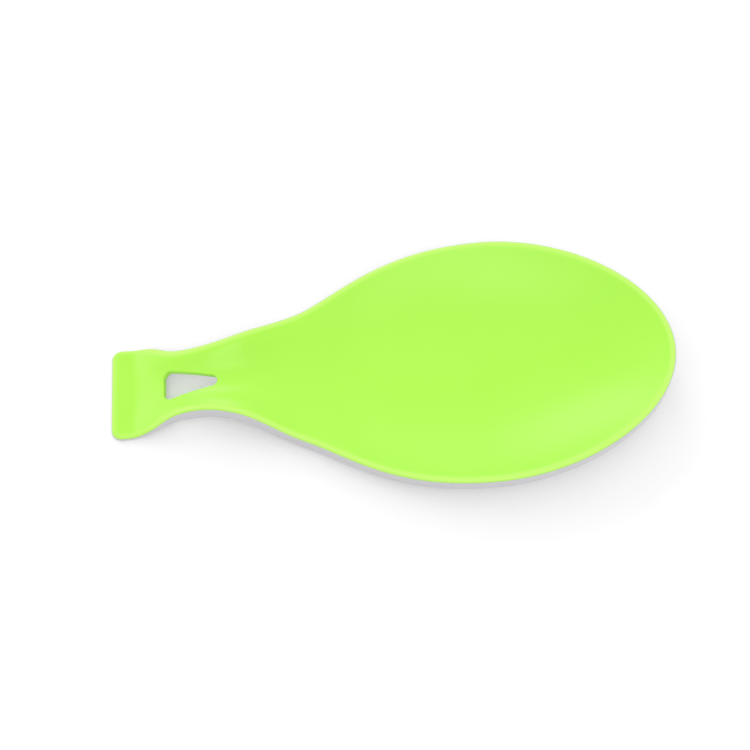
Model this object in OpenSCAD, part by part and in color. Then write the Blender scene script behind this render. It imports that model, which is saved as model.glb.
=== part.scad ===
// Spoon rest: a teardrop dish with an arched neck and a flat toe, moulded as two bonded layers.
// All sizes are millimetres. +X runs along the dish towards the bowl, +Z is up, and the origin
// lies on the table under the middle of the dish.

/* [Plan] */
// Distance from the bowl's tip back to its widest place
bowl_reach = 79.9; // [70:0.2:90]
// Width of the bowl at its widest place
bowl_width = 112.6; // [96:0.2:128]
// Distance from the widest place back to the shoulder, where the bowl turns into the neck
shoulder_length = 80.3; // [70:0.1:90]
// Width across the shoulder
shoulder_width = 58.8; // [50:0.2:68]
// Distance from the shoulder back to the narrowest place of the neck
throat_length = 45.6; // [40:0.1:52]
// Width of the neck at its narrowest place
neck_width = 29.8; // [27:0.2:34]
// Distance from the narrowest place back to the end of the toe
tail_length = 34.2; // [31:0.2:40]
// Width of the toe
toe_width = 41.8; // [38:0.2:50]
// Radius of the toe's two corners in plan
toe_corner = 4.4; // [3.9:0.1:5]
// Length of the toe that lies flat on the table
toe_flat = 10.2; // [8:0.2:12]

/* [Side view] */
// Height of the rim at the bowl's tip
tip_height = 20; // [17:0.5:25]
// Height of the rim at its dip near the shoulder
dip_height = 9.9; // [9:0.1:12]
// Distance of the dip ahead of the shoulder
dip_ahead = 3; // [0:0.5:6]
// Height of the rim at its crest over the neck
crest_height = 16.8; // [14:0.2:18]
// Distance of the rim's crest ahead of the narrowest place
crest_ahead = 20.8; // [17:0.2:24]
// Height of the channel floor where it is highest
saddle_height = 11.4; // [10:0.2:12.6]
// Distance of the channel floor's highest place ahead of the narrowest place
saddle_ahead = 13.5; // [8:0.5:16]
// Distance from the widest place back to where the bowl's floor becomes level
floor_back = 50; // [40:1:55]

/* [Walls] */
// Thickness of the dish, both layers together
wall = 3; // [2.7:0.1:3.4]
// Thickness of the inner layer
inner_layer = 1.2; // [1:0.1:1.5]
// Thickness of the bowl's floor over the flat base
floor_thickness = 2.4; // [2.2:0.1:2.6]
// Power of the bowl's section: 1 is a cone, 2 a parabola, and more makes a flatter floor
bowl_power = 2.3; // [2:0.1:3]

/* [Rim] */
// Distance from the outline in to the crest of the rim
crest_inset = 1.5; // [1.2:0.1:1.7]
// Distance over which the rim rounds down from its crest into the bowl
crown_reach = 2; // [1.4:0.1:2]
// Drop of the rim from its crest to its outer edge
crown_drop = 0.35; // [0.2:0.05:0.5]
// Thickness of the inner layer at its outer edge
green_edge = 0.45; // [0.3:0.05:0.7]
// Step by which the outer shell stands past the inner layer
rim_step = 0.3; // [0.1:0.05:0.4]
// Height of the shell's upright skirt round the bowl
skirt_height = 6.1; // [5:0.1:6.5]
// Height of the skirt along the neck
neck_skirt = 7.3; // [6:0.1:8]
// Thickness of the skirt where it meets the dish
skirt_thickness = 2.6; // [2.2:0.1:2.8]
// Radius of the skirt's lower corner
skirt_corner = 0.6; // [0.3:0.1:0.8]

/* [Hang hole] */
// Distance from the toe's end to the hole's straight side
hole_back = 23; // [21:0.5:26]
// Length of the hole along the neck
hole_length = 23; // [16:0.5:26]
// Width of the hole at its straight side
hole_width = 12.8; // [9:0.2:15]
// Radius of the hole's two corners
hole_corner = 3; // [1.5:0.1:4]
// Radius of the hole's narrow end
hole_tip = 2.5; // [1.5:0.1:3.5]
// Lean of the hole from upright, square to the ramp that it pierces
hole_lean = 18; // [0:1:25]

/* [Base] */
// Length of the shallow recess in the base
recess_length = 50; // [36:1:54]
// Width of the shallow recess in the base
recess_width = 16; // [10:1:18]
// Depth of the recess
recess_depth = 0.3; // [0.2:0.1:0.4]
// Distance of the recess's middle behind the widest place
recess_back = 18; // [14:1:22]

/* [Hidden] */

green = "greenyellow";
white = "whitesmoke";

// Places along the dish, from the bowl's tip back to the toe's end
dish_length = bowl_reach + shoulder_length + throat_length + tail_length;
tip_x = dish_length / 2;
wide_x = tip_x - bowl_reach;
shoulder_x = wide_x - shoulder_length;
neck_x = shoulder_x - throat_length;
toe_x = -dish_length / 2;
corner_x = toe_x + toe_corner;
crease_x = toe_x + toe_flat;
dip_x = shoulder_x + dip_ahead;
crest_x = neck_x + crest_ahead;
saddle_x = neck_x + saddle_ahead;
floor_x = wide_x - floor_back;

// Half widths of the outline
wide_y = bowl_width / 2;
shoulder_y = shoulder_width / 2;
neck_y = neck_width / 2;
toe_y = toe_width / 2;

// How far each curve of the outline runs straight on from its two ends, as shares of its length
tip_shares = [0.533, 0.503];
shoulder_shares = [0.544, 0.241];
throat_shares = [0.3, 0.368];
tail_shares = [0.487, 0.661];
// Slope of the outline at the shoulder, width gained for length gone
shoulder_slope = 0.425;

// Counts of ribs along each stretch of half the outline
tip_ribs = 18;
shoulder_ribs = 16;
throat_ribs = 11;
tail_ribs = 12;
corner_ribs = 3;
end_ribs = 2;
// Counts of points up the bowl's wall, and over each side of the rim's crest
wall_steps = 9;
crown_steps = 2;
crest_step = wall_steps + crown_steps;
edge_step = crest_step + crown_steps;

// The toe is one whole wall thick, and its skirt is what the rim's own edge leaves of it
toe_height = wall;
toe_skirt = toe_height - crown_drop - green_edge;
// Distance from the crease to where the skirt starts to deepen
skirt_lead = toe_flat / 4;
// Share of the skirt's foot that its inner face leans in by
skirt_draft_share = 0.2;
// Power that widens the level middle of the shallow channel
channel_power = 1.2;
// Powers that skew the rim's fall from the neck's crest to the dip, and its rise to the tip
fall_power = 0.91;
rise_power = 0.66;
// One overrun for every cut
over = 3 * wall;

function mix(a, b, share) = a + (b - a) * share;
function clip(v, low, high) = min(max(v, low), high);
function ease(a, b, share) = mix(a, b, (1 - cos(180 * clip(share, 0, 1))) / 2);
function climb(a, b, share) = mix(a, b, sin(90 * clip(share, 0, 1)));

// Side view: heights of the rim and of the floor at any place along the dish
function rim_z(x) =
    x < crest_x ? climb(toe_height, crest_height, (x - crease_x) / (crest_x - crease_x))
    : x < dip_x ? ease(crest_height, dip_height, pow((x - crest_x) / (dip_x - crest_x), fall_power))
    : ease(dip_height, tip_height, pow((x - dip_x) / (tip_x - dip_x), rise_power));
function floor_z(x) =
    x < saddle_x ? climb(toe_height, saddle_height, (x - crease_x) / (saddle_x - crease_x))
    : ease(saddle_height, floor_thickness, (x - saddle_x) / (floor_x - saddle_x));
// Share of the deep bowl section, against the shallow channel section, along the dish
function bowl_share(x) = ease(0, 1, (x - crest_x) / (floor_x - crest_x));
// Height of the skirt, which deepens up the ramp and is less deep round the bowl
function skirt_z(x) =
    x < neck_x ? ease(toe_skirt, neck_skirt, (x - crease_x - skirt_lead) / (neck_x - crease_x))
    : mix(neck_skirt, skirt_height, bowl_share(x));

// Plan view: the outline's curves, each from four points
tip_curve = [
    [tip_x, 0],
    [tip_x, tip_shares[0] * wide_y],
    [wide_x + tip_shares[1] * bowl_reach, wide_y],
    [wide_x, wide_y]
];
shoulder_curve = [
    [wide_x, wide_y],
    [wide_x - shoulder_shares[0] * shoulder_length, wide_y],
    [shoulder_x, shoulder_y] + shoulder_shares[1] * shoulder_length * [1, shoulder_slope],
    [shoulder_x, shoulder_y]
];
throat_curve = [
    [shoulder_x, shoulder_y],
    [shoulder_x, shoulder_y] - throat_shares[0] * throat_length * [1, shoulder_slope],
    [neck_x + throat_shares[1] * throat_length, neck_y],
    [neck_x, neck_y]
];
tail_run = neck_x - corner_x;
tail_curve = [
    [neck_x, neck_y],
    [neck_x - tail_shares[0] * tail_run, neck_y],
    [corner_x + tail_shares[1] * tail_run, toe_y],
    [corner_x, toe_y]
];

function curve_point(c, t) =
    pow(1 - t, 3) * c[0] + 3 * pow(1 - t, 2) * t * c[1] + 3 * (1 - t) * t * t * c[2] + pow(t, 3) * c[3];
function curve_heading(c, t) =
    pow(1 - t, 2) * (c[1] - c[0]) + 2 * (1 - t) * t * (c[2] - c[1]) + t * t * (c[3] - c[2]);

// A station is a point of the outline and its outward direction
function station(c, t) =
    let (heading = curve_heading(c, t) / norm(curve_heading(c, t)))
    [curve_point(c, t), [heading.y, -heading.x]];
function corner_station(angle) =
    let (out = [cos(angle), sin(angle)])
    [[corner_x, toe_y - toe_corner] + toe_corner * out, out];
function end_station(share) = [[toe_x, (toe_y - toe_corner) * (1 - share)], [-1, 0]];

half_rim = concat(
    [for (i = [0:tip_ribs]) station(tip_curve, i / tip_ribs)],
    [for (i = [1:shoulder_ribs]) station(shoulder_curve, i / shoulder_ribs)],
    [for (i = [1:throat_ribs]) station(throat_curve, i / throat_ribs)],
    [for (i = [1:tail_ribs]) station(tail_curve, i / tail_ribs)],
    [for (i = [1:corner_ribs]) corner_station(mix(90, 180, i / corner_ribs))],
    [for (i = [1:end_ribs]) end_station(i / end_ribs)]
);
last_half = len(half_rim) - 1;
function mirrored(s) = [[s[0].x, -s[0].y], [s[1].x, -s[1].y]];
rim = concat(half_rim, [for (i = [last_half - 1:-1:1]) mirrored(half_rim[i])]);
rib_count = len(rim);

// Each rib runs from a foot on the middle line out to the rim. The ribs of the tip fan out from
// the widest place, and those of the toe from the crease.
function inset_point(s, inset) = s[0] - inset * s[1];
function inner_edge(s) = inset_point(s, crest_inset + crown_reach);
function foot_x(s) = clip(inner_edge(s).x, crease_x, wide_x);
function foot(s) = [foot_x(s), 0];
between = [for (s = half_rim) if (foot_x(s) < wide_x && foot_x(s) > crease_x) foot_x(s)];
feet = concat([wide_x], between, [crease_x]);
function half_index(i) = i <= last_half ? i : rib_count - i;
function foot_index(i) =
    let (x = foot_x(rim[half_index(i) % rib_count]))
    x >= wide_x ? 0
    : x <= crease_x ? len(feet) - 1
    : half_index(i) - tip_ribs;

// Upper surface of one rib at its step k: up the wall, then over the crest to the outer edge
function crown_inset(k) =
    k <= crest_step ? mix(crest_inset + crown_reach, crest_inset, (k - wall_steps) / crown_steps)
    : mix(crest_inset, rim_step, (k - crest_step) / crown_steps);
function upper_plan(s, k) =
    k <= wall_steps ? mix(foot(s), inner_edge(s), k / wall_steps) : inset_point(s, crown_inset(k));
function channel_z(s, p) =
    let (out_share = norm(p - foot(s)) / norm(inset_point(s, crest_inset) - foot(s)))
    mix(floor_z(p.x), rim_z(s[0].x), (1 - cos(180 * pow(clip(out_share, 0, 1), channel_power))) / 2);
// Bend of the crown that meets the slope of the bowl's wall
function crown_bend(s) =
    let (
        reach = norm(inner_edge(s) - foot(s)),
        rise = rim_z(s[0].x) - floor_z(foot_x(s))
    )
    bowl_power * rise / (crown_reach * (2 * reach + bowl_power * crown_reach));
function bowl_z(s, p, k) =
    let (
        crown_fall = crown_bend(s) * pow(crown_reach, 2),
        inward = crown_inset(k) - crest_inset
    )
    k <= wall_steps ? mix(floor_z(p.x), rim_z(s[0].x) - crown_fall, pow(k / wall_steps, bowl_power))
    : rim_z(s[0].x) - crown_bend(s) * pow(inward, 2);
function edge_z(s, k) = rim_z(s[0].x) - crown_drop * pow((k - crest_step) / crown_steps, 2);
function upper_point(s, k) =
    let (
        p = upper_plan(s, k),
        z = k > crest_step ? edge_z(s, k) : mix(channel_z(s, p), bowl_z(s, p, k), bowl_share(p.x))
    )
    [p.x, p.y, z];
// A point of the upper surface sunk square to it, and never below the table
function sunk_point(s, k, depth) =
    let (
        p = upper_point(s, k),
        along = upper_point(s, k + 1) - upper_point(s, k - 1),
        run = norm([along.x, along.y]),
        out = depth * along.z / norm(along) / run
    )
    [p.x + out * along.x, p.y + out * along.y, max(p.z - depth * run / norm(along), 0)];

// Height at which both layers end at the rim, and the skirt from there down to its foot
function seam_z(s) = rim_z(s[0].x) - crown_drop - green_edge;
function skirt_foot_z(s) = max(seam_z(s) - skirt_z(s[0].x), 0);
function side_point(s, inset, z) =
    let (p = inset_point(s, inset))
    [p.x, p.y, z];
function skirt_rib(s) =
    let (
        foot_z = skirt_foot_z(s),
        bevel = skirt_corner * (1 - cos(45))
    )
    [
        side_point(s, 0, seam_z(s)),
        side_point(s, 0, foot_z + skirt_corner),
        side_point(s, bevel, foot_z + bevel),
        side_point(s, skirt_corner, foot_z),
        side_point(s, skirt_thickness * (1 - skirt_draft_share), foot_z),
        side_point(s, skirt_thickness, max(upper_point(s, wall_steps).z - wall, 0))
    ];

function seam_rib(s) = [for (k = [1:wall_steps]) sunk_point(s, k, inner_layer)];
function inner_rib(s) = concat(
    [for (k = [1:edge_step]) upper_point(s, k)],
    [side_point(s, rim_step, seam_z(s))],
    [for (k = [wall_steps - 1:-1:0]) seam_rib(s)[k]]
);
function outer_rib(s) = concat(
    seam_rib(s),
    [side_point(s, rim_step, seam_z(s))],
    skirt_rib(s),
    [for (k = [wall_steps - 1:-1:1]) sunk_point(s, k, wall)]
);

// Skin over ribs that share feet on the middle line above and below
function skin_faces(rows) = concat(
    [for (i = [0:rib_count - 1], r = [0:rows - 2])
        let (j = (i + 1) % rib_count)
        each [
            [i * rows + r, j * rows + r + 1, i * rows + r + 1],
            [i * rows + r, j * rows + r, j * rows + r + 1]
        ]
    ],
    [for (i = [0:rib_count - 1], side = [0, 1])
        let (
            j = (i + 1) % rib_count,
            r = side * (rows - 1),
            base = rib_count * rows + side * len(feet),
            a = base + foot_index(i),
            b = base + foot_index(j)
        )
        each [
            side == 0 ? [i * rows + r, b, j * rows + r] : [i * rows + r, j * rows + r, b],
            if (a != b) side == 0 ? [i * rows + r, a, b] : [i * rows + r, b, a]
        ]
    ]
);

module skin(ribs, upper_depth, lower_depth) {
    rows = len(ribs[0]);
    polyhedron(
        points = concat(
            [for (rib = ribs) each rib],
            [for (x = feet) [x, 0, floor_z(x) - upper_depth]],
            [for (x = feet) [x, 0, max(floor_z(x) - lower_depth, 0)]]
        ),
        faces = skin_faces(rows)
    );
}

// The hang hole: a rounded triangle, straight across towards the toe
module hang_hole() {
    hole_x = toe_x + hole_back;
    translate([hole_x, 0, floor_z(hole_x)])
        rotate([0, -hole_lean, 0])
            linear_extrude(height = 2 * over, center = true)
                hull() {
                    for (side = [-1, 1])
                        translate([hole_corner, side * (hole_width / 2 - hole_corner)])
                            circle(r = hole_corner, $fn = 32);
                    translate([hole_length - hole_tip, 0])
                        circle(r = hole_tip, $fn = 32);
                }
}

// The shallow recess that leaves the base standing on a flat ring
module base_recess() {
    translate([wide_x - recess_back, 0, 0])
        linear_extrude(height = 2 * recess_depth, center = true)
            polygon([for (a = [0:7.5:352.5]) [recess_length / 2 * cos(a), recess_width / 2 * sin(a)]]);
}

// Green layer: the whole upper surface and the rounded lip
module green_inner_layer() {
    color(green)
        difference() {
            skin([for (s = rim) inner_rib(s)], 0, inner_layer);
            hang_hole();
        }
}

// White layer: the outside, the edge under the lip, and the base
module white_outer_shell() {
    color(white)
        difference() {
            skin([for (s = rim) outer_rib(s)], inner_layer, wall);
            hang_hole();
            base_recess();
        }
}

green_inner_layer();
white_outer_shell();
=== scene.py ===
# %% [markdown]
# A spoon rest stands beside the hob and keeps a wet spoon off the worktop. This one is a
# teardrop dish: a shallow bowl, a neck that arches up and over with a hang hole in it, and a
# flat toe. It is moulded in two bonded colours, lime green inside and white outside.
#
# This file dresses the model of that dish for a photograph. It first loads the plain solids.

# %% Load the plain solids
import bmesh
import bpy
from math import cos, pi, radians, sin
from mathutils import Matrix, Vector


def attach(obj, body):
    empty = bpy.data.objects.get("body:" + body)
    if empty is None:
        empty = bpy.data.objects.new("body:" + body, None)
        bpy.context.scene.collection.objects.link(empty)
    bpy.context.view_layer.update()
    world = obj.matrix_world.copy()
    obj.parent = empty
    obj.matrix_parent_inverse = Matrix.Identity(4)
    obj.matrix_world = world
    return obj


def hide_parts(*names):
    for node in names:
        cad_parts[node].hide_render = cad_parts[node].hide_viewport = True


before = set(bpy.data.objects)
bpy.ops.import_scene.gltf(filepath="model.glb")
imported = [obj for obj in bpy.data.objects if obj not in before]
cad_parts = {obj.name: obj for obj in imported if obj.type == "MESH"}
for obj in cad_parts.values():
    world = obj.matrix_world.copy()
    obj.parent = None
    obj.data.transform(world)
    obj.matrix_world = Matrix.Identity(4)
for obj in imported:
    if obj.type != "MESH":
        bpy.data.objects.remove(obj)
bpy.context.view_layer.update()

# %% [markdown]
# Every size is a real one in millimetres, turned into metres here. Names read as a potter would
# say them: the tip is the bowl's far end, the shoulder is where the bowl turns into the neck,
# and the crease is where the flat toe bends up. X runs along the dish from the toe to the tip, Y
# runs across it, and the table is at height 0.

# %% Places along the dish
mm = 0.001
bowl_reach = 79.9 * mm
shoulder_length = 80.3 * mm
throat_length = 45.6 * mm
tail_length = 34.2 * mm
tip_x = (bowl_reach + shoulder_length + throat_length + tail_length) / 2
wide_x = tip_x - bowl_reach
shoulder_x = wide_x - shoulder_length
neck_x = shoulder_x - throat_length
toe_x = -tip_x
toe_corner = 4.4 * mm
toe_flat = 10.2 * mm
corner_x = toe_x + toe_corner
crease_x = toe_x + toe_flat
print("length of the dish, mm:", round(2 * tip_x / mm, 1))

# %% Half widths at those places
wide_y = 56.3 * mm
shoulder_y = 29.4 * mm
neck_y = 14.9 * mm
toe_y = 20.9 * mm
print("width of the dish, mm:", round(2 * wide_y / mm, 1))

# %% [markdown]
# The outline is one closed Bezier curve, like the edge of a paper pattern. It could be a row of
# many short points, but a mould maker draws such a dish with a few long arcs, and a Bezier curve
# is just that. Each of its places has two handles, which say how far the curve keeps its
# direction on either side. Half of the outline is written down, from the tip round one side to
# the toe, and the other half is the same, mirrored.


# %% Half of the outline
def anchor(x, y, towards_tip, towards_toe, slope=0.0):
    """A place, and its two handles on a line of this slope, this far towards the tip and the toe"""
    tip_handle = (x + towards_tip, y + towards_tip * slope)
    toe_handle = (x - towards_toe, y - towards_toe * slope)
    return (x, y), tip_handle, toe_handle


# Each handle is a share of the length beside it
tip_round = 0.533
wide_to_tip, wide_to_toe = 0.503, 0.544
shoulder_to_tip, shoulder_to_toe, shoulder_slope = 0.241, 0.3, 0.425
neck_to_tip, neck_to_toe = 0.368, 0.487
corner_to_neck, corner_round = 0.661, 0.552
tail = neck_x - corner_x
toe_side_y = toe_y - toe_corner
half_outline = [
    ((tip_x, 0), (tip_x, -tip_round * wide_y), (tip_x, tip_round * wide_y)),
    anchor(wide_x, wide_y, wide_to_tip * bowl_reach, wide_to_toe * shoulder_length),
    anchor(
        shoulder_x,
        shoulder_y,
        shoulder_to_tip * shoulder_length,
        shoulder_to_toe * throat_length,
        shoulder_slope,
    ),
    anchor(neck_x, neck_y, neck_to_tip * throat_length, neck_to_toe * tail),
    anchor(corner_x, toe_y, corner_to_neck * tail, corner_round * toe_corner),
    ((toe_x, toe_side_y), (toe_x, toe_side_y + corner_round * toe_corner), (toe_x, toe_side_y / 3)),
]
print("half of the outline has", len(half_outline), "places")


# %% The whole outline as a curve
def mirrored(half_place):
    """The same place on the other side, with its two handles swapped"""
    place, tip_handle, toe_handle = [(x, -y) for x, y in half_place]
    return place, toe_handle, tip_handle


outline_places = half_outline + [mirrored(place) for place in reversed(half_outline[1:])]
steps_between_places = 96


def outline_curve(name):
    """A closed Bezier curve through the outline's places"""
    curve = bpy.data.curves.new(name, "CURVE")
    curve.dimensions = "3D"
    spline = curve.splines.new("BEZIER")
    spline.bezier_points.add(len(outline_places) - 1)
    for point, (place, left, right) in zip(spline.bezier_points, outline_places):
        point.handle_left_type = "FREE"
        point.handle_right_type = "FREE"
        point.co = (*place, 0)
        point.handle_left = (*left, 0)
        point.handle_right = (*right, 0)
    spline.use_cyclic_u = True
    spline.resolution_u = steps_between_places
    thing = bpy.data.objects.new(name, curve)
    bpy.context.scene.collection.objects.link(thing)
    return thing


print("the outline has", len(outline_places), "places")

# %% [markdown]
# The body of the dish follows rules: each place along it has a height for the rim, a height for
# the floor and a section between them. Geometry Nodes suit that, since a rule can be read,
# changed and reused. Formulas in a node tree are easier to read as sums than as rows of Math
# nodes, so a small helper lets Python's own signs add those nodes.


# %% A helper that writes formulas as nodes
class Formula:
    """A number on its way through a node tree"""

    def __init__(self, tree, socket):
        self.tree = tree
        self.socket = socket

    def math(self, operation, *others):
        node = self.tree.nodes.new("ShaderNodeMath")
        node.operation = operation
        for slot, value in zip(node.inputs, (self, *others)):
            plug(self.tree, value, slot)
        return Formula(self.tree, node.outputs[0])

    def __add__(self, other):
        return self.math("ADD", other)

    def __sub__(self, other):
        return self.math("SUBTRACT", other)

    def __mul__(self, other):
        return self.math("MULTIPLY", other)

    def __truediv__(self, other):
        return self.math("DIVIDE", other)

    def __pow__(self, other):
        return self.math("POWER", other)

    def __neg__(self):
        return self * -1

    def __radd__(self, other):
        return self + other

    def __rmul__(self, other):
        return self * other

    def __rsub__(self, other):
        return -self + other


def plug(tree, value, slot):
    """Feed a formula or a plain number into a node's input"""
    if isinstance(value, Formula):
        tree.links.new(value.socket, slot)
    else:
        slot.default_value = value


print("a formula knows the signs + - * / and **")

# %% [markdown]
# Five short formulas shape the whole dish. A mix is a straight ramp. An ease is half a wave, and
# starts and ends level. A climb is a quarter of a wave: it starts steep and ends level.


# %% The formulas that shape the dish
def mix(a, b, share):
    """From a to b in a straight line"""
    return a + (b - a) * share


def clip(value):
    """The value, kept between 0 and 1"""
    return value.math("MAXIMUM", 0).math("MINIMUM", 1)


def ease(a, b, share):
    """From a to b in half a wave"""
    return mix(a, b, (1 - (clip(share) * pi).math("COSINE")) * 0.5)


def climb(a, b, share):
    """From a to b in a quarter of a wave"""
    return mix(a, b, (share.math("MINIMUM", 1) * (pi / 2)).math("SINE"))


def length(x, y):
    """The length of a line that runs this far both ways"""
    return (x * x + y * y).math("SQRT")


print("shapes between two values: mix, ease and climb")

# %% [markdown]
# A formula that is needed in many places becomes a group of nodes, with a name on each input and
# output. A recipe is such a group. Its sizes are the dish's own and are passed on from group to
# group, and its places are what it is asked about.


# %% A helper that makes a named group of nodes
class Recipe:
    """A node group whose inputs and outputs are plain numbers with names"""

    def __init__(self, name, sizes, places):
        self.tree = bpy.data.node_groups.new(name, "GeometryNodeTree")
        self.sizes = sizes
        self.places = places
        for key in (*places, *sizes):
            socket = self.tree.interface.new_socket(key, in_out="INPUT", socket_type="NodeSocketFloat")
            socket.default_value = sizes.get(key, 0)
        self.start = self.tree.nodes.new("NodeGroupInput")
        self.end = self.tree.nodes.new("NodeGroupOutput")

    def __getitem__(self, key):
        return Formula(self.tree, self.start.outputs[key])

    def give(self, **results):
        for key, value in results.items():
            key = key.replace("_", " ")
            self.tree.interface.new_socket(key, in_out="OUTPUT", socket_type="NodeSocketFloat")
            plug(self.tree, value, self.end.inputs[key])

    def use(self, parent, *places):
        """Place this group in a parent tree, with the parent's own sizes on its inputs"""
        node = parent.tree.nodes.new("GeometryNodeGroup")
        node.node_tree = self.tree
        for key, value in zip(self.places, places):
            plug(parent.tree, value, node.inputs[key])
        for key in self.sizes:
            plug(parent.tree, parent[key], node.inputs[key])
        return [Formula(parent.tree, output) for output in node.outputs]


print("a recipe has a start, an end, sizes and places")

# %% [markdown]
# Seen from the side, the rim climbs from the toe over the arched neck, dips at the shoulder and
# rises round the bowl to its highest point at the tip. The floor has a rise of its own under the
# neck. Both are drawn with quarter and half waves, which start and end level, as a hand would
# smooth a clay model.

# %% Sizes seen from the side
height_sizes = {
    "Toe height": 3.0 * mm,
    "Crest height": 16.8 * mm,
    "Dip height": 9.9 * mm,
    "Tip height": 20.0 * mm,
    "Saddle height": 11.4 * mm,
    "Floor height": 2.4 * mm,
    "Crease place": crease_x,
    "Neck place": neck_x,
    "Saddle place": neck_x + 13.5 * mm,
    "Crest place": neck_x + 20.8 * mm,
    "Dip place": shoulder_x + 3 * mm,
    "Level floor place": wide_x - 50 * mm,
    "Tip place": tip_x,
    "Crease softness": 3.5 * mm,
    "Toe skirt": 2.2 * mm,
    "Neck skirt": 7.3 * mm,
    "Bowl skirt": 6.1 * mm,
}
heights = Recipe("Heights of the dish", height_sizes, ["Along"])
print("sizes seen from the side:", len(height_sizes))

# %% Height of the rim
along = heights["Along"]
crease = heights["Crease place"]
crest = heights["Crest place"]
dip = heights["Dip place"]
tip = heights["Tip place"]
early_dip, early_tip = 0.91, 0.66  # a power below 1 makes a wave start early


def switch_at(place, before, after):
    """One height before a place along the dish, and another after it"""
    return mix(before, after, along.math("GREATER_THAN", heights[place]))


after_crease = (along - crease).math("SMOOTH_MAX", 0, heights["Crease softness"])
up_to_crest = climb(heights["Toe height"], heights["Crest height"], after_crease / (crest - crease))
dip_share = clip((along - crest) / (dip - crest)) ** early_dip
down_to_dip = ease(heights["Crest height"], heights["Dip height"], dip_share)
tip_share = clip((along - dip) / (tip - dip)) ** early_tip
up_to_tip = ease(heights["Dip height"], heights["Tip height"], tip_share)
after_crest = switch_at("Dip place", down_to_dip, up_to_tip)
rim_height = switch_at("Crest place", up_to_crest, after_crest)
print("nodes for the rim:", len(heights.tree.nodes))

# %% Height of the floor, and depth of the skirt
saddle = heights["Saddle place"]
level = heights["Level floor place"]
up_to_saddle = climb(heights["Toe height"], heights["Saddle height"], after_crease / (saddle - crease))
level_share = (along - saddle) / (level - saddle)
down_to_floor = ease(heights["Saddle height"], heights["Floor height"], level_share)
floor_height = switch_at("Saddle place", up_to_saddle, down_to_floor)
bowl_share = ease(0, 1, (along - crest) / (level - crest))
skirt_start = toe_flat / 4
skirt_share = (along - crease - skirt_start) / (heights["Neck place"] - crease)
deeper = ease(heights["Toe skirt"], heights["Neck skirt"], skirt_share)
shallower = mix(heights["Neck skirt"], heights["Bowl skirt"], bowl_share)
skirt_depth = switch_at("Neck place", deeper, shallower)
heights.give(Rim=rim_height, Floor=floor_height, Bowl_share=bowl_share, Skirt=skirt_depth)
print("heights group:", len(heights.tree.nodes), "nodes")

# %% [markdown]
# Across the dish, each rib runs from a foot on the middle line out to the rim. In the bowl it is
# close to a parabola, and over the neck it is a shallow wave. Near the outline it rolls over a
# soft crown, which catches the light round the whole edge. Share 0 is the foot, 1 is where the
# crown starts, and 2 is the crest. The shape could be sculpted by hand from a subdivided plane,
# but a formula lets both colours share one face exactly, with no gap and no overlap.

# %% The foot of a rib, and a place on it
section_sizes = {
    **height_sizes,
    "Widest place": wide_x,
    "Crest inset": 1.5 * mm,
    "Crown reach": 2.0 * mm,
    "Bowl power": 2.3,
    "Channel power": 1.2,
    "Fan softness": 12 * mm,
}
rib_places = ["Rim along", "Rim across", "Out along", "Out across", "Share"]
surface = Recipe("Upper surface of the dish", section_sizes, rib_places)
rim_x, rim_y, out_x, out_y, share = [surface[key] for key in rib_places]
crest_inset, crown_reach = surface["Crest inset"], surface["Crown reach"]
wall_share = share.math("MINIMUM", 1)
crown_left = 1 - (share - 1).math("MAXIMUM", 0)
edge_x = rim_x - (crest_inset + crown_reach) * out_x
edge_y = rim_y - (crest_inset + crown_reach) * out_y
foot_x = edge_x.math("SMOOTH_MIN", surface["Widest place"], surface["Fan softness"])
foot_x = foot_x.math("MAXIMUM", surface["Crease place"])
rib_inset = crest_inset + crown_reach * crown_left
place_x = mix(foot_x, rim_x - rib_inset * out_x, wall_share)
place_y = (rim_y - rib_inset * out_y) * wall_share
print("nodes for the rib:", len(surface.tree.nodes))

# %% The height of that place, as a bowl and as a channel
rim_z = heights.use(surface, rim_x)[0]
_, floor_here, bowl_here, _ = heights.use(surface, place_x)
floor_foot = heights.use(surface, foot_x)[1]
reach = length(edge_x - foot_x, edge_y)
bowl_power = surface["Bowl power"]
crown_bend = bowl_power * (rim_z - floor_foot) / (crown_reach * (2 * reach + bowl_power * crown_reach))
crown_z = rim_z - crown_bend * (crown_reach * crown_left) ** 2
bowl_z = mix(floor_here, crown_z, wall_share ** bowl_power)
crest_reach = length(rim_x - crest_inset * out_x - foot_x, rim_y - crest_inset * out_y)
channel_share = clip(length(place_x - foot_x, place_y) / crest_reach) ** surface["Channel power"]
channel_z = ease(floor_here, rim_z, channel_share)
surface.give(Place_along=place_x, Place_across=place_y, Height=mix(channel_z, bowl_z, bowl_here))
print("upper surface group:", len(surface.tree.nodes), "nodes")

# %% [markdown]
# The green layer has an even thickness, so its underside is the upper surface sunk square to
# itself. The same is true of the whole wall. One group does both: it looks a little way along
# the rib to find the slope, then steps down square to it, and never goes below the table.

# %% The same surface, sunk square to itself
sunk = Recipe("Surface sunk by a depth", section_sizes, [*rib_places, "Depth"])
rib = [sunk[key] for key in rib_places[:4]]
share, depth = sunk["Share"], sunk["Depth"]
look = 0.06  # how far it looks each way, as a share of the rib
foot_part = 1 / 12  # over this share of the rib, next to its foot, it sinks nearly straight down
straight_down_at_foot = clip(share * (1 / foot_part))
here = surface.use(sunk, *rib, share)
before = surface.use(sunk, *rib, (share - look).math("MAXIMUM", 0))
beyond = surface.use(sunk, *rib, share + look)
run_x, run_y, rise = [b - a for a, b in zip(before, beyond)]
run = length(run_x, run_y)
slant = length(run, rise)
out = depth * rise / slant / run * straight_down_at_foot
sunk.give(
    Place_along=here[0] + out * run_x,
    Place_across=here[1] + out * run_y,
    Height=(here[2] - depth * run / slant).math("MAXIMUM", 0),
)
print("sunk surface group:", len(sunk.tree.nodes), "nodes")

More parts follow.
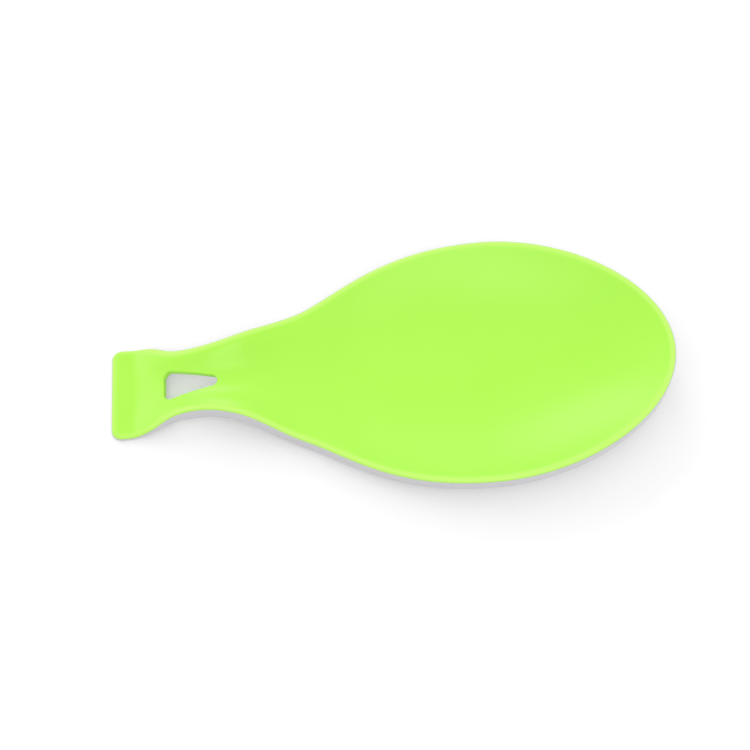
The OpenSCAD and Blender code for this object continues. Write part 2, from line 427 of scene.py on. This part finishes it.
# %% [markdown]
# The skin of each layer is made of sheets. A sheet is a flat grid: one way it follows the
# outline, and the other way it crosses the section. Sampling the outline gives each of its
# points a place on the rim and the direction outwards, and the formulas above put it in space.
# Sheets that share an edge are merged, so each layer becomes one closed skin. All sizes go into
# the tree as named inputs, so a dish of another size needs no new nodes.

# %% The tree for both layers
layer_sizes = {
    **section_sizes,
    "Wall": 3.0 * mm,
    "Inner layer": 1.2 * mm,
    "Crown drop": 0.35 * mm,
    "Green edge": 0.45 * mm,
    "Rim step": 0.3 * mm,
    "Skirt thickness": 2.6 * mm,
    "Skirt corner": 0.6 * mm,
    "Toe green edge": 0.7 * mm,
    "Toe rim step": 0.25 * mm,
    "Toe corner": 1.15 * mm,
    "Toe blend": 12 * mm,
    "Ledge corner": 0.12 * mm,
    "Hole place": toe_x + 23 * mm,
    "Hole length": 23 * mm,
    "Hole width": 12.8 * mm,
    "Hole corner": 3.0 * mm,
    "Hole tip": 2.5 * mm,
    "Hole lean": radians(18),
    "Hole edge radius": 0.5 * mm,
    "Recess place": wide_x - 18 * mm,
    "Recess length": 50 * mm,
    "Recess width": 16 * mm,
    "Recess depth": 0.3 * mm,
}
layers = Recipe("Layers of the spoon rest", layer_sizes, [])
tree = layers.tree
other_inputs = {"Outline": "Object", "White layer": "Bool", "Ribs round": "Int", "Finish": "Material"}
for key, kind in other_inputs.items():
    tree.interface.new_socket(key, in_out="INPUT", socket_type="NodeSocket" + kind)
tree.interface.new_socket("Layer", in_out="OUTPUT", socket_type="NodeSocketGeometry")
print("inputs of the tree:", len(layer_sizes) + len(other_inputs))


# %% Helpers that add nodes to that tree
def add(kind, **settings):
    """Add a node to the tree of the layers, and set its properties and inputs by name"""
    node = tree.nodes.new("GeometryNode" + kind)
    for key, value in settings.items():
        if hasattr(node, key):
            setattr(node, key, value)
        else:
            plug(tree, value, node.inputs[key.replace("_", " ")])
    return node


def split(socket):
    """The parts of a vector as formulas"""
    node = tree.nodes.new("ShaderNodeSeparateXYZ")
    tree.links.new(socket, node.inputs[0])
    return [Formula(tree, part) for part in node.outputs]


def joined(x, y, z):
    """A vector from three formulas or numbers"""
    node = tree.nodes.new("ShaderNodeCombineXYZ")
    for value, slot in zip((x, y, z), node.inputs):
        plug(tree, value, slot)
    return Formula(tree, node.outputs[0])


def sampled(curve_socket, share):
    """Place and outward direction at a share of the way round a closed curve"""
    curve = Formula(tree, curve_socket)
    node = add("SampleCurve", mode="FACTOR", use_all_curves=True, Curves=curve, Factor=share)
    x, y, _ = split(node.outputs["Position"])
    towards_x, towards_y, _ = split(node.outputs["Tangent"])
    size = length(towards_x, towards_y)
    return x, y, towards_y / size, -towards_x / size


print("helpers ready, nodes so far:", len(tree.nodes))

# %% [markdown]
# Each sheet starts as a flat square, one unit wide, round the origin. Its two coordinates become
# two shares: how far round the outline a point is, and how far across the sheet. Round the toe
# the green wraps a little further down and the foot is rounder, so a third share tells how far
# past the toe a point is, and blends the toe's sizes into the ordinary ones.

# %% Places on the section
grid_x, grid_y, _ = split(add("InputPosition").outputs[0])
round_share, across = grid_x + 0.5, grid_y + 0.5
outline_here = add("ObjectInfo")
tree.links.new(layers.start.outputs["Outline"], outline_here.inputs["Object"])
rim = sampled(outline_here.outputs["Geometry"], round_share)
rim_along, rim_across, out_along, out_across = rim
rim_top, _, _, skirt = heights.use(layers, rim_along)
past_toe = ease(0, 1, (rim_along - layers["Crease place"]) / layers["Toe blend"])
green_edge = mix(layers["Toe green edge"], layers["Green edge"], past_toe)
rim_step = mix(layers["Toe rim step"], layers["Rim step"], past_toe)
corner = mix(layers["Toe corner"], layers["Skirt corner"], past_toe)
crown_edge_z = rim_top - layers["Crown drop"]
seam_z = crown_edge_z - green_edge
foot_z = (crown_edge_z - layers["Green edge"] - skirt).math("MAXIMUM", 0)
print("nodes with the places on the section:", len(tree.nodes))


# %% Helpers that make a skin from sheets
def inset(distance, z):
    """A place at a distance in from the outline"""
    return rim_along - distance * out_along, rim_across - distance * out_across, z


def between(a, b, share):
    """A place on the straight line from one place to another"""
    return [mix(p, q, share) for p, q in zip(a, b)]


def on_top(share):
    """A place on the upper surface"""
    return surface.use(layers, *rim, share)


def below(depth, share):
    """A place sunk into the wall by a named depth"""
    return sunk.use(layers, *rim, share, layers[depth])


def sheet(rows, place, points_round=None, painted_highlight=0.0):
    """A grid moved to where the formulas say, which stores how much painted highlight its points get at the
    rim
    """
    grid = add("MeshGrid", Size_X=1.0, Size_Y=1.0, Vertices_Y=rows)
    if points_round is None:
        tree.links.new(layers.start.outputs["Ribs round"], grid.inputs["Vertices X"])
    else:
        grid.inputs["Vertices X"].default_value = points_round
    # The rim attribute stores how much painted highlight each point gets.
    marked = add("StoreNamedAttribute", data_type="FLOAT", domain="POINT", Name="rim", Value=painted_highlight)
    tree.links.new(grid.outputs["Mesh"], marked.inputs["Geometry"])
    moved = add("SetPosition", Position=joined(*place))
    tree.links.new(marked.outputs["Geometry"], moved.inputs["Geometry"])
    return moved.outputs[0]


weld_distance = 0.01 * mm


def skin(sheets):
    """Sheets joined and merged into one closed skin that faces outwards"""
    join = add("JoinGeometry")
    for part in reversed(sheets):
        tree.links.new(part, join.inputs[0])
    turned = add("FlipFaces")
    tree.links.new(join.outputs[0], turned.inputs[0])
    merged = add("MergeByDistance", Distance=weld_distance)
    tree.links.new(turned.outputs[0], merged.inputs[0])
    return merged.outputs[0]


print("sheets are welded where they are closer than", weld_distance / mm, "mm")

# %% [markdown]
# The green layer is the upper surface, the crown and the rounded lip, then back along the seam.
# The lip's edge is a quarter of an ellipse: a moulded edge never ends in a knife or a square.
# The number in front of each sheet is its count of rows, more where it is wide or bends more.

# %% The green layer's sheets
seam_start = inset(rim_step, seam_z)
turn = across * (pi / 2)
lip_inset = mix(layers["Crest inset"], rim_step, turn.math("SINE"))
lip_z = rim_top - (layers["Crown drop"] + green_edge) * (1 - turn.math("COSINE"))
# The crest and the lip's lower edge are painted paler, a painted highlight for light caught by the rounded
# rim, with less of it at the toe.
crest_painted_highlight = mix(0.5, 1, past_toe)  # how pale the crest is, at the toe and past it
lip_painted_highlight = mix(0.7, 0.4, past_toe)  # and the lip's lower edge
green_skin = skin([
    sheet(38, on_top(across)),
    sheet(7, on_top(across + 1), painted_highlight=across * crest_painted_highlight),
    sheet(8, inset(lip_inset, lip_z), painted_highlight=mix(crest_painted_highlight, lip_painted_highlight, across)),
    sheet(3, between(seam_start, below("Inner layer", 1), across)),
    sheet(30, below("Inner layer", 1 - across)),
])
print("nodes with the green skin:", len(tree.nodes))

# %% [markdown]
# The white layer starts at the same seam, steps out under the green edge, and turns down in a
# skirt with a rounded foot. Its inner face leans a little, so that the part leaves its mould,
# and then the underside follows the wall in towards the middle.

# %% The white layer's sheets
ledge = layers["Ledge corner"].math("MINIMUM", rim_step)
root_inset = layers["Skirt thickness"]
foot_thinning = 0.8
foot_inset = root_inset * foot_thinning
root_z = (on_top(1)[2] - layers["Wall"]).math("MAXIMUM", 0)
corner_share, largest_corner = 0.3, 0.5 * mm
inner_corner = ((root_z - foot_z) * corner_share).math("MINIMUM", largest_corner)
arc_in, arc_down = 1 - turn.math("COSINE"), 1 - turn.math("SINE")
underside_reach = 8 / 9
white_skin = skin([
    sheet(30, below("Inner layer", across)),
    sheet(3, between(below("Inner layer", 1), seam_start, across)),
    sheet(2, inset(mix(rim_step, ledge, across), seam_z)),
    sheet(4, inset(ledge * arc_down, seam_z - ledge * arc_in)),
    sheet(4, inset(0, mix(seam_z - ledge, foot_z + corner, across))),
    sheet(6, inset(corner * arc_in, foot_z + corner * arc_down)),
    sheet(3, inset(mix(corner, foot_inset - inner_corner, across), foot_z)),
    sheet(5, inset(foot_inset - inner_corner * arc_down, foot_z + inner_corner * arc_in)),
    sheet(3, inset(mix(foot_inset, root_inset, across), mix(foot_z + inner_corner, root_z, across))),
    sheet(4, between(inset(root_inset, root_z), below("Wall", underside_reach), across)),
    sheet(34, below("Wall", (1 - across) * underside_reach)),
])
print("nodes with the white skin:", len(tree.nodes))

# %% [markdown]
# The hang hole lets the dish hang on a hook. It is a rounded triangle, and its outline is where a
# straight edge would roll round three discs, so each point belongs to the disc that reaches
# furthest in its own direction. It could be drawn as a second Bezier curve, but this way the
# radius of each corner is a size that can be read and changed.

# %% The hang hole's outline
hole_corner, hole_tip = layers["Hole corner"], layers["Hole tip"]
hole_length = layers["Hole length"]
corner_y = layers["Hole width"] * 0.5 - hole_corner
directions = 120
ring = add("CurvePrimitiveCircle", mode="RADIUS", Resolution=directions, Radius=1.0)
facing_x, facing_y, _ = split(add("InputPosition").outputs[0])
corner_reach = hole_corner * facing_x + corner_y * facing_y.math("ABSOLUTE") + hole_corner
tip_reach = (hole_length - hole_tip) * facing_x + hole_tip
at_tip = tip_reach.math("GREATER_THAN", corner_reach)
disc = mix(hole_corner, hole_tip, at_tip)
disc_x = mix(hole_corner, hole_length - hole_tip, at_tip)
disc_y = mix(corner_y * facing_y.math("SIGN"), 0, at_tip)
ring_place = joined(disc_x + disc * facing_x, disc_y + disc * facing_y, 0)
hole_ring = add("SetPosition", Position=ring_place)
tree.links.new(ring.outputs[0], hole_ring.inputs[0])
hole_points = 180
even_ring = add("ResampleCurve", Count=hole_points)
tree.links.new(hole_ring.outputs[0], even_ring.inputs[0])
hole_rim = sampled(even_ring.outputs[0], round_share)
print("points round the hole:", hole_points)

# %% [markdown]
# A plain cutter would leave sharp edges at the hole, and a Bevel modifier stumbles on such a
# curved wall. So the plug that cuts the hole follows both faces of the wall and flares there:
# rays shot at each face tell it how high the face lies.

# %% Places round the hole
lean_cos, lean_sin = layers["Hole lean"].math("COSINE"), layers["Hole lean"].math("SINE")
hole_z = heights.use(layers, layers["Hole place"])[1]
ray_start = 30 * mm


def in_hole(x, y, up):
    """A place in the hole's own leaning frame, put into the dish"""
    return layers["Hole place"] + x * lean_cos - up * lean_sin, y, hole_z + x * lean_sin + up * lean_cos


def on_face(side, x, y, depth):
    """A place a depth inside the upper face (side 1) or the lower face (side -1) of the wall"""
    start = joined(*in_hole(x, y, side * ray_start))
    ray = add("Raycast", Source_Position=start, Ray_Length=1.0)
    plug(tree, joined(lean_sin * side, 0, lean_cos * -side), ray.inputs["Ray Direction"])
    tree.links.new(green_skin if side > 0 else white_skin, ray.inputs["Target Geometry"])
    x, y, z = split(ray.outputs["Hit Position"])
    return x + lean_sin * side * depth, y, z - lean_cos * side * depth


def round_hole(side, spread, depth):
    """The same, at a distance outside the hole's outline"""
    x, y, outward_x, outward_y = hole_rim
    return on_face(side, x + spread * outward_x, y + spread * outward_y, depth)


print("nodes with the hole's places:", len(tree.nodes))

# %% The plug that cuts the hole
edge_radius = layers["Hole edge radius"]
hole_middle = hole_length * 0.4
plug_end = 14 * mm
flare_reach, flare_rise = 1.7, 0.22  # in edge radii, so that the plug clears the wall's face
first_turn = radians(15)
zero, one = across * 0, across * 0 + 1
ring_points = hole_points + 1


def flare(side, share):
    """A place on the hole's rounded edge, from nearly level to square down"""
    edge_turn = mix(first_turn, pi / 2, share)
    spread, depth = 1 - edge_turn.math("SINE"), 1 - edge_turn.math("COSINE")
    return round_hole(side, edge_radius * spread, edge_radius * depth)


def half_plug(side):
    """Sheets from the middle of the plug's end, out to the flare and down the hole's wall"""
    outer = round_hole(side, edge_radius * flare_reach, edge_radius * -flare_rise)
    middle = in_hole(hole_middle, 0, side * plug_end)
    down = across if side > 0 else 1 - across
    return [
        sheet(3, between(middle, outer, down), ring_points),
        sheet(2, between(outer, flare(side, zero), down), ring_points),
        sheet(7, flare(side, down), ring_points),
    ]


walls = sheet(3, between(flare(1, one), flare(-1, one), across), ring_points)
plug_skin = skin([*half_plug(1), walls, *reversed(half_plug(-1))])
print("nodes with the plug:", len(tree.nodes))

# %% [markdown]
# The green resin also runs down the hole's wall, as a collar as thick as the layer itself. The
# collar is a block round the hole, which the plug cuts through afterwards. The white layer gets
# room for it from the same block, made a little longer so that it cuts cleanly. A mesh Boolean
# joins and cuts them, with the Manifold solver, which is quick and keeps a closed skin closed.


# %% The collar round the hole, and the room for it
def hole_block(below_wall):
    """A block from inside the green layer down to the wall's lower face, or below it"""
    collar = layers["Inner layer"]
    inside = collar * 0.5
    into_hole = collar * 0.25  # the plug cuts this part away
    top_middle = on_face(1, hole_middle, 0, inside)
    top = round_hole(1, collar, inside)
    bottom = round_hole(-1, collar, below_wall)
    bottom_edge = round_hole(-1, -into_hole, below_wall)
    bottom_middle = on_face(-1, hole_middle, 0, below_wall)
    path = [top_middle, top, bottom, bottom_edge, bottom_middle]
    return skin([sheet(4, between(a, b, across), ring_points) for a, b in zip(path, path[1:])])


def cut_or_join(operation, *parts):
    """A mesh Boolean, which joins all the parts or cuts the later ones out of the first"""
    node = add("MeshBoolean", operation=operation, solver="MANIFOLD")
    for number, part in enumerate(parts):
        is_whole = operation == "DIFFERENCE" and number == 0
        tree.links.new(part, node.inputs["Mesh 1" if is_whole else "Mesh 2"])
    return node.outputs["Mesh"]


extra_room = 1 * mm
green_whole = cut_or_join("UNION", green_skin, hole_block(0))
white_whole = cut_or_join("DIFFERENCE", white_skin, hole_block(-extra_room))
print("nodes with the collar:", len(tree.nodes))

# %% [markdown]
# The flat base has a shallow recess, so that the dish stands on the ring round it and does not
# rock. On a mould this is one milled pocket, so here it is one flat cylinder with an oval plan.
# Half of the cylinder lies below the table, so it is made twice as tall as the recess is deep.

# %% The disc that cuts the recess
recess_sides = 128
recess = add("MeshCylinder", Vertices=recess_sides, Radius=1.0, Depth=1.0)
recess_place = joined(layers["Recess place"], 0, 0)
recess_scale = joined(layers["Recess length"] * 0.5, layers["Recess width"] * 0.5, layers["Recess depth"] * 2)
recess_disc = add("Transform", Translation=recess_place, Scale=recess_scale)
tree.links.new(recess.outputs["Mesh"], recess_disc.inputs["Geometry"])
print("recess, mm:", [round(layer_sizes["Recess " + way] / mm, 1) for way in ("length", "width", "depth")])

# %% [markdown]
# A switch picks the layer, so one tree makes both and they can't drift apart. The plug and the
# disc cut whichever layer it is. Then come smooth shading and the finish, and instances become
# real, because an export leaves them out.

# %% Cut, smooth and finish
choice = add("Switch", input_type="GEOMETRY")
tree.links.new(layers.start.outputs["White layer"], choice.inputs["Switch"])
tree.links.new(green_whole, choice.inputs["False"])
tree.links.new(white_whole, choice.inputs["True"])
cut = cut_or_join("DIFFERENCE", choice.outputs[0], plug_skin, recess_disc.outputs[0])
smooth = add("SetShadeSmooth")
real = add("RealizeInstances")
finish = add("SetMaterial")
tree.links.new(cut, smooth.inputs[0])
tree.links.new(smooth.outputs[0], real.inputs[0])
tree.links.new(real.outputs[0], finish.inputs["Geometry"])
tree.links.new(layers.start.outputs["Finish"], finish.inputs["Material"])
tree.links.new(finish.outputs[0], layers.end.inputs["Layer"])
print("tree of the layers:", len(tree.nodes), "nodes")

# %% [markdown]
# Both colours are the same kind of plastic: a hard, dense resin pressed in a polished mould. Its
# gloss is soft, since the polish has a faint ripple, and its colour drifts a little where the
# pigment is not quite even. Along the crest of the rim the colour is a painted highlight: it is
# painted paler where the rounded rim catches the light. One group makes those effects for both
# colours, from noise at three scales: a broad drift of colour, a ripple like orange peel, and a
# fine uneven polish. The painted highlight comes from the mark that each sheet left on its points.

# %% The moulded resin's inputs and outputs
resin = bpy.data.node_groups.new("Moulded resin", "ShaderNodeTree")
resin_inputs = {
    "Pale colour": ("Color", (1, 1, 1, 1)),
    "Deep colour": ("Color", (1, 1, 1, 1)),
    "Painted rim highlight": ("Color", (1, 1, 1, 1)),
    "Drift scale": ("Float", 18.0),
    "Polish": ("Float", 0.3),
    "Polish change": ("Float", 0.05),
    "Polish scale": ("Float", 130.0),
    "Ripple scale": ("Float", 420.0),
}
for key, (kind, value) in resin_inputs.items():
    socket = resin.interface.new_socket(key, in_out="INPUT", socket_type="NodeSocket" + kind)
    socket.default_value = value
for key, kind in (("Colour", "Color"), ("Roughness", "Float"), ("Ripple", "Float")):
    resin.interface.new_socket(key, in_out="OUTPUT", socket_type="NodeSocket" + kind)
resin_in = resin.nodes.new("NodeGroupInput")
resin_out = resin.nodes.new("NodeGroupOutput")
coordinates = resin.nodes.new("ShaderNodeTexCoord")


def noise(scale_name, detail):
    """Noise on the object's own coordinates, so that it stays put when the camera moves"""
    node = resin.nodes.new("ShaderNodeTexNoise")
    node.inputs["Detail"].default_value = detail
    resin.links.new(coordinates.outputs["Object"], node.inputs["Vector"])
    resin.links.new(resin_in.outputs[scale_name], node.inputs["Scale"])
    return node.outputs["Fac"]


def colour_mix(factor, first, second):
    """A node that blends two colours"""
    node = resin.nodes.new("ShaderNodeMix")
    node.data_type = "RGBA"
    resin.links.new(factor, node.inputs["Factor"])
    resin.links.new(first, node.inputs["A"])
    resin.links.new(second, node.inputs["B"])
    return node.outputs["Result"]


print("inputs of the resin:", len(resin_inputs))

# %% The resin's colour: a broad drift, and a painted highlight at the rim
drift = noise("Drift scale", detail=3.0)
body_colour = colour_mix(drift, resin_in.outputs["Pale colour"], resin_in.outputs["Deep colour"])
# The rim attribute picks how much of the painted highlight colour covers the body colour.
painted_highlight_mask = resin.nodes.new("ShaderNodeAttribute")
painted_highlight_mask.attribute_name = "rim"
soft_painted_highlight = resin.nodes.new("ShaderNodeMapRange")
soft_painted_highlight.interpolation_type = "SMOOTHSTEP"
resin.links.new(painted_highlight_mask.outputs["Fac"], soft_painted_highlight.inputs["Value"])
whole_colour = colour_mix(soft_painted_highlight.outputs["Result"], body_colour, resin_in.outputs["Painted rim highlight"])
resin.links.new(whole_colour, resin_out.inputs["Colour"])
print("nodes for the colour:", len(resin.nodes))

# %% The resin's polish and ripple
centred = resin.nodes.new("ShaderNodeMath")
centred.operation = "SUBTRACT"
middle_of_noise = 0.5
resin.links.new(noise("Polish scale", detail=4.0), centred.inputs[0])
centred.inputs[1].default_value = middle_of_noise
polish = resin.nodes.new("ShaderNodeMath")
polish.operation = "MULTIPLY_ADD"
resin.links.new(centred.outputs[0], polish.inputs[0])
resin.links.new(resin_in.outputs["Polish change"], polish.inputs[1])
resin.links.new(resin_in.outputs["Polish"], polish.inputs[2])
resin.links.new(polish.outputs[0], resin_out.inputs["Roughness"])
resin.links.new(noise("Ripple scale", detail=2.0), resin_out.inputs["Ripple"])
print("resin group:", len(resin.nodes), "nodes")

# %% [markdown]
# The lime is strong in green and has hardly any blue. The white is the resin's own white darkened
# with painted shade to a warm pale grey, which still looks white beside the lime and gives its wall
# a painted shade on a white table. A constant, such as the index of refraction, is set on the
# shader itself, and only what changes over the surface comes from the group.

# %% The two colours
ripple_height = 0.05 * mm
refraction = 1.5


def resin_material(name, pale, deep, painted_rim_colour, polish, ripple):
    """A hard moulded resin in one colour, with a painted highlight colour along the rim"""
    material = bpy.data.materials.new(name)
    material.use_nodes = True
    nodes, links = material.node_tree.nodes, material.node_tree.links
    shader = nodes["Principled BSDF"]
    effects = nodes.new("ShaderNodeGroup")
    effects.node_tree = resin
    effects.inputs["Pale colour"].default_value = (*pale, 1)
    effects.inputs["Deep colour"].default_value = (*deep, 1)
    effects.inputs["Painted rim highlight"].default_value = (*painted_rim_colour, 1)
    effects.inputs["Polish"].default_value = polish
    bump = nodes.new("ShaderNodeBump")
    bump.inputs["Strength"].default_value = ripple
    bump.inputs["Distance"].default_value = ripple_height
    links.new(effects.outputs["Colour"], shader.inputs["Base Color"])
    links.new(effects.outputs["Roughness"], shader.inputs["Roughness"])
    links.new(effects.outputs["Ripple"], bump.inputs["Height"])
    links.new(bump.outputs["Normal"], shader.inputs["Normal"])
    shader.inputs["IOR"].default_value = refraction
    return material


lime = resin_material(
    "lime resin",
    pale=(0.450, 0.94, 0.074),
    deep=(0.425, 0.915, 0.060),
    # the rim's painted highlight colour
    painted_rim_colour=(0.56, 0.97, 0.15),
    polish=0.34,
    ripple=0.12,
)
# The white's colours are darkened with painted shade, below the resin's own white.
white = resin_material(
    "white resin",
    pale=(0.65, 0.64, 0.665),
    deep=(0.63, 0.62, 0.645),
    painted_rim_colour=(0.65, 0.64, 0.665),
    polish=0.38,
    ripple=0.12,
)
print("materials:", lime.name, "and", white.name)

# %% [markdown]
# A cut leaves many-sided faces along its edge, some with three corners in line, which a
# printer's software would split into faces of no area. A solid that is to be printed should not
# depend on luck, so doubled points are merged and such faces are split well here.

# %% Split the many-sided faces and count the open edges
double_distance = 0.0015 * mm
shortest_edge = 0.001 * mm
most_sides = 4


def tidied(mesh):
    """The number of edges that do not join two faces, after the mesh is tidied in place"""
    work = bmesh.new()
    work.from_mesh(mesh)
    bmesh.ops.remove_doubles(work, verts=work.verts, dist=double_distance)
    bmesh.ops.dissolve_degenerate(work, edges=work.edges, dist=shortest_edge)
    many_sided = [face for face in work.faces if len(face.verts) > most_sides]
    bmesh.ops.triangulate(work, faces=many_sided)
    open_edges = sum(len(edge.link_faces) != 2 for edge in work.edges)
    work.to_mesh(mesh)
    work.free()
    return open_edges


print("points closer than", round(double_distance / mm, 4), "mm are merged")

# %% [markdown]
# The tree becomes a piece when a modifier runs it on the outline and the result is kept as a
# plain mesh. Each layer takes the place of its plain solid, so the model still comes apart into
# the same two pieces, which ride on the dish's one body.

# %% Make the two layers
ribs_round = 600
input_names = {
    item.name: item.identifier for item in tree.interface.items_tree if item.in_out == "INPUT"
}


def make_layer(name, is_white, material):
    """Run the tree on the outline and keep what it makes as a plain mesh"""
    outline = outline_curve(name + "_outline")
    piece = bpy.data.objects.new(name, bpy.data.meshes.new(name))
    bpy.context.scene.collection.objects.link(piece)
    modifier = piece.modifiers.new("layers", "NODES")
    modifier.node_group = tree
    choices = {"Outline": outline, "White layer": is_white, "Ribs round": ribs_round + 1, "Finish": material}
    for key, value in {**layer_sizes, **choices}.items():
        modifier[input_names[key]] = value
    now = bpy.context.evaluated_depsgraph_get()
    piece_now = piece.evaluated_get(now)
    mesh = bpy.data.meshes.new_from_object(piece_now, preserve_all_data_layers=True, depsgraph=now)
    piece.modifiers.remove(modifier)
    piece.data = mesh
    bpy.data.objects.remove(outline)
    open_edges = tidied(mesh)
    print(name, "has", len(mesh.polygons), "faces and", open_edges, "open edges")
    return piece


for piece_name, node_name, is_white, material in (
    ("lime_dish", "green_inner_layer", False, lime),
    ("white_shell", "white_outer_shell", True, white),
):
    piece = make_layer(piece_name, is_white, material)
    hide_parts(node_name)
    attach(piece, "root")

# %% [markdown]
# The camera looks down at 65 degrees, a little from the left, from 65 cm. Its numbers come from
# fitting the outline to the photograph: at that distance one millimetre is 2.32 of the picture's
# 750 pixels, which is a lens of about 72 mm. The shift centres the picture as it was cropped.

# %% Camera
look_down, turn_left, distance = radians(65), radians(3.965), 0.650
picture_width = 750
pixels_per_mm = 2.32
sensor_width = 36
camera_data = bpy.data.cameras.new("camera")
camera_data.sensor_width = sensor_width
camera_data.lens = pixels_per_mm * (distance / mm) * sensor_width / picture_width
camera_data.shift_x = -16.66 / picture_width
camera_data.shift_y = 5.01 / picture_width
camera = bpy.data.objects.new("camera", camera_data)
bpy.context.scene.collection.objects.link(camera)
level_part = -cos(look_down)
direction = Vector((level_part * sin(turn_left), level_part * cos(turn_left), sin(look_down)))
camera.location = direction * distance
camera.rotation_mode = "QUATERNION"
camera.rotation_quaternion = (-camera.location).to_track_quat("-Z", "Y")
bpy.context.scene.camera = camera
bpy.context.scene.view_settings.view_transform = "Standard"
print("lens, mm:", round(camera_data.lens, 1))

# %% [markdown]
# The floor is a plain pale plane that keeps the soft shadow. Its diffuse part alone would be
# light grey in the picture. A small glow that only the camera and reflections can see lifts it
# to white, and the dish itself gets no light from it. The floor ends before the lamps' light
# fades, and lies a hair below the table's height, so that the base doesn't share its plane.

# %% Floor
floor_width, floor_drop = 1.6, 0.02 * mm
floor_grey, floor_glow = 0.8, 0.23


def seen_directly(node_tree):
    """1 where a ray comes from the camera, a reflection or clear glass, otherwise 0"""
    path = node_tree.nodes.new("ShaderNodeLightPath")
    last = path.outputs["Is Camera Ray"]
    for kind in ("Is Glossy Ray", "Is Transmission Ray"):
        either = node_tree.nodes.new("ShaderNodeMath")
        either.operation = "MAXIMUM"
        node_tree.links.new(last, either.inputs[0])
        node_tree.links.new(path.outputs[kind], either.inputs[1])
        last = either.outputs[0]
    return last


bpy.ops.mesh.primitive_plane_add(size=floor_width, location=(0, 0, -floor_drop))
floor = bpy.context.object
floor.name = "floor"
floor_material = bpy.data.materials.new("floor")
floor_material.use_nodes = True
floor_tree = floor_material.node_tree
floor_tree.nodes.clear()
floor_out = floor_tree.nodes.new("ShaderNodeOutputMaterial")
both = floor_tree.nodes.new("ShaderNodeAddShader")
diffuse = floor_tree.nodes.new("ShaderNodeBsdfDiffuse")
diffuse.inputs["Color"].default_value = (floor_grey, floor_grey, floor_grey, 1)
glow = floor_tree.nodes.new("ShaderNodeEmission")
strength = floor_tree.nodes.new("ShaderNodeMath")
strength.operation = "MULTIPLY"
strength.inputs[1].default_value = floor_glow
floor_tree.links.new(seen_directly(floor_tree), strength.inputs[0])
floor_tree.links.new(strength.outputs[0], glow.inputs["Strength"])
floor_tree.links.new(diffuse.outputs[0], both.inputs[0])
floor_tree.links.new(glow.outputs[0], both.inputs[1])
floor_tree.links.new(both.outputs[0], floor_out.inputs["Surface"])
floor.data.materials.append(floor_material)
print("floor: diffuse", floor_grey, "and a glow of", floor_glow)

# %% [markdown]
# A product like this is photographed in a white tent, which lights it from all sides. The world
# is that tent. It gives the dish a light of 0.8, and is white, which is 1, where the camera or a
# reflection sees it.

# %% The tent
tent_light, tent_seen = 0.8, 1.0
world = bpy.data.worlds.new("world")
bpy.context.scene.world = world
world.use_nodes = True
sky = world.node_tree.nodes["Background"]
sky.inputs["Color"].default_value = (1, 1, 1, 1)
tent = world.node_tree.nodes.new("ShaderNodeMath")
tent.operation = "MULTIPLY_ADD"
world.node_tree.links.new(seen_directly(world.node_tree), tent.inputs[0])
tent.inputs[1].default_value = tent_seen - tent_light
tent.inputs[2].default_value = tent_light
world.node_tree.links.new(tent.outputs[0], sky.inputs["Strength"])
print("the tent lights with", tent_light, "and looks like", tent_seen)

# %% [markdown]
# Four soft square lamps do the rest: the key stands behind and makes the front wall of the bowl
# shine, the left one lights the ramp, the top one the back wall, and the right one is low and
# lights the white wall outside. Together with the tent they come to about 1, at which a colour
# looks as it is written.


# %% Lamps
def softbox(name, place, width, brightness):
    """A square lamp that looks at the dish's middle. A brightness of 1 is that of a white card"""
    data = bpy.data.lights.new(name, "AREA")
    data.shape = "SQUARE"
    data.size = width
    data.energy = brightness * pi * width**2
    lamp = bpy.data.objects.new(name, data)
    bpy.context.scene.collection.objects.link(lamp)
    lamp.location = place
    lamp.rotation_mode = "QUATERNION"
    lamp.rotation_quaternion = (-Vector(place)).to_track_quat("-Z", "Y")


softbox("key", place=(-0.4, 1.8, 1.0), width=0.8, brightness=3.0)
softbox("left", place=(-1.5, 0.9, 0.95), width=0.8, brightness=2.0)
softbox("top", place=(-0.1, -0.8, 1.8), width=0.9, brightness=2.0)
softbox("right", place=(1.5, -0.5, 0.35), width=0.8, brightness=1.8)
